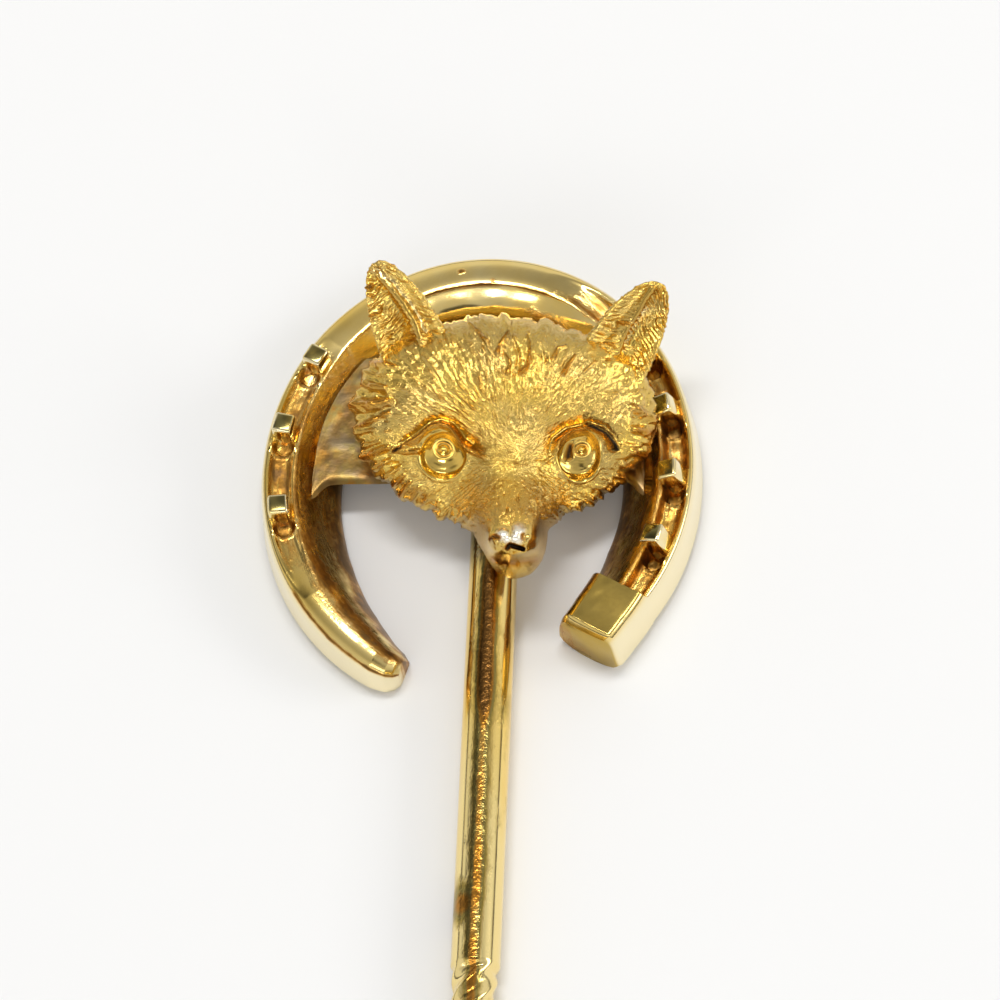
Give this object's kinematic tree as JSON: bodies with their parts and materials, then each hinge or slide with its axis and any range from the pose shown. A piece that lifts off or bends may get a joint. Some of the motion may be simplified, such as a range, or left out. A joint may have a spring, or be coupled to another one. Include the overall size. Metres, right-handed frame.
{
  "type": "stick pin",
  "caption": "Gold stick pin with a fox mask in front of a nailed horseshoe, on a straight stem with a twisted stretch and a tapered point.",
  "frame": {"origin": "centre of the bounding box, on the plane that the pin's back lies on", "axes": "+Y from the stem's point to the horseshoe's toe, +X to the right as the fox is seen, +Z out of the face"},
  "size_m": [0.0118, 0.06, 0.0049],
  "materials": {
    "shoe_gold": "polished yellow gold, tarnished in the groove and on the inner slope",
    "nail_gold": "polished pale gold",
    "mask_gold": "matte engraved yellow gold",
    "stem_gold": "polished drawn gold wire"
  },
  "bodies": {
    "root": {"horseshoe": "shoe_gold", "nail_left_1": "nail_gold", "nail_left_2": "nail_gold", "nail_left_3": "nail_gold", "nail_right_1": "nail_gold", "nail_right_2": "nail_gold", "nail_right_3": "nail_gold", "nail_right_4": "nail_gold", "fox_head": "mask_gold", "pin_stem": "stem_gold"}
  },
  "joints": []
}
